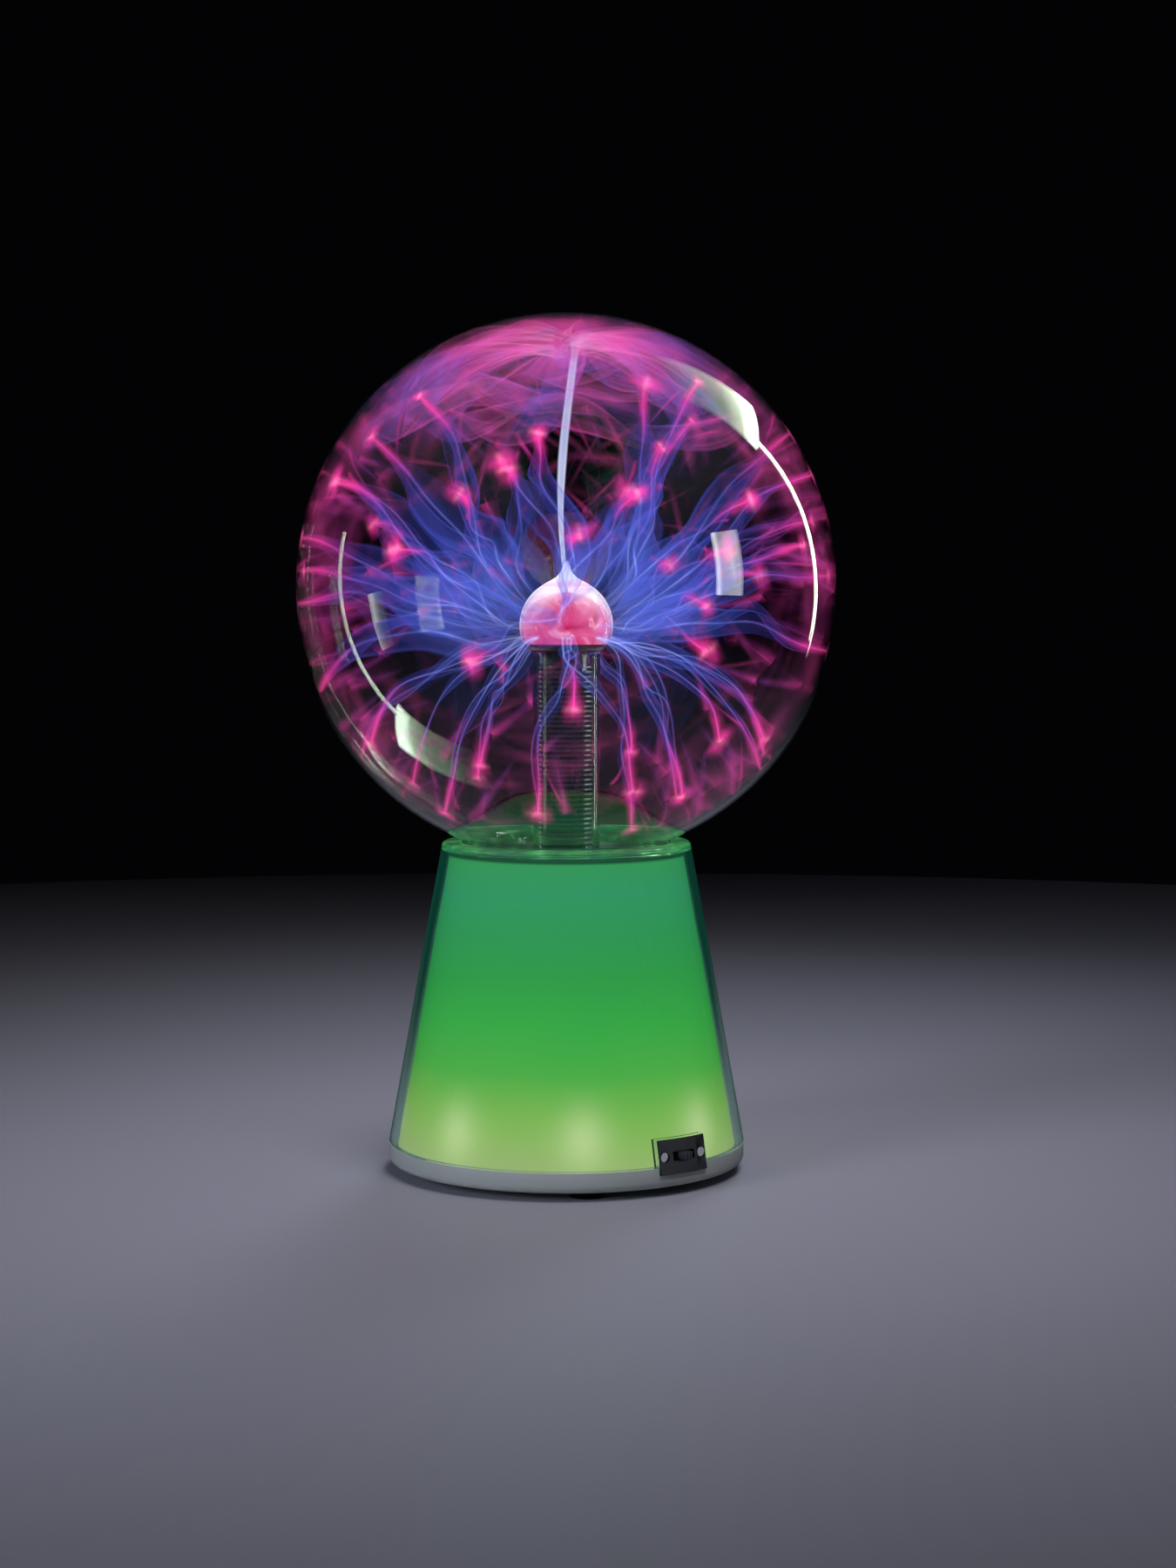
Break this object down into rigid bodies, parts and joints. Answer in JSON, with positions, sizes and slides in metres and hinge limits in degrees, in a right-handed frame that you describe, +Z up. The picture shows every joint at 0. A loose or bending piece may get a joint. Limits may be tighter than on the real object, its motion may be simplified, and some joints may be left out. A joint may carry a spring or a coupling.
{
  "type": "plasma ball",
  "caption": "Free-standing plasma ball: a sealed round glass globe with a glowing central electrode and branching filaments, on a tapered light-up base with a slide switch.",
  "frame": {"origin": "centre of the base's footprint, on the plane that the feet stand on", "axes": "+Z up along the axis of the base and the globe, -Y towards the front, +X to the right of someone facing the front"},
  "size_m": [0.203, 0.203, 0.318],
  "materials": {
    "globe_glass": "clear, polished",
    "glowing_bulb": "glows pink",
    "dark_metal": "matt",
    "stem_glass": "clear",
    "black_insulation": "ribbed, satin",
    "black_rubber": "matt",
    "pale_gasket": "translucent, satin",
    "white_plastic": "satin",
    "screw_steel": "zinc plated",
    "red_wire": "smooth insulation",
    "clear_shell": "clear, polished",
    "lit_diffuser": "frosted, lit green",
    "pale_tray": "satin",
    "white_board": "solder mask",
    "lamp_lens": "lit",
    "white_wire": "smooth insulation",
    "green_board": "solder mask",
    "ferrite": "matt",
    "coil_resin": "potting resin",
    "black_epoxy": "moulded",
    "heat_sink_aluminium": "extruded",
    "blue_sleeve": "shrunk sleeve",
    "orange_coating": "dipped",
    "resistor_body": "lacquered",
    "black_plastic": "fine grain",
    "switch_steel": "pressed",
    "grey_wire": "smooth insulation",
    "contact_brass": "plated",
    "microphone_can": "drawn"
  },
  "bodies": {
    "lamp": {"globe_glass": "globe_glass", "globe_neck": "globe_glass", "electrode_bulb": "glowing_bulb", "electrode_core": "dark_metal", "stem_tube": "stem_glass", "stem_sleeve": "black_insulation", "stem_plug": "black_rubber", "neck_plate": "stem_glass", "pump_tip": "stem_glass", "neck_gasket": "pale_gasket", "neck_socket": "white_plastic", "socket_screws": "screw_steel", "hv_lead": "red_wire", "outer_shell": "clear_shell", "diffuser": "lit_diffuser", "reflector": "white_plastic", "bottom_tray": "pale_tray", "tray_screws": "screw_steel", "foot_front": "black_rubber", "foot_rear_right": "black_rubber", "foot_rear_left": "black_rubber", "led_board": "white_board", "led_lamps": "lamp_lens", "led_lead": "white_wire", "main_board": "green_board", "board_screws": "screw_steel", "flyback_core": "ferrite", "flyback_coil": "coil_resin", "drive_transistor": "black_epoxy", "heat_sink": "heat_sink_aluminium", "filter_capacitor": "blue_sleeve", "film_capacitor": "orange_coating", "control_chip": "black_epoxy", "resistors": "resistor_body", "board_sockets": "white_plastic", "switch_bezel": "black_plastic", "switch_body": "switch_steel", "switch_screws": "screw_steel", "switch_lead": "grey_wire", "rear_plate": "black_plastic", "power_jack": "black_plastic", "jack_pin": "contact_brass", "jack_lead": "grey_wire", "microphone": "microphone_can", "microphone_lead": "grey_wire"},
    "slider": {"switch_slider": "black_plastic"}
  },
  "joints": [
    {"name": "switch_slide", "type": "slide", "parent": "lamp", "child": "slider", "axis": [0.766, 0.6428, 0], "range_m": [-0.0025, 0.0025]}
  ]
}
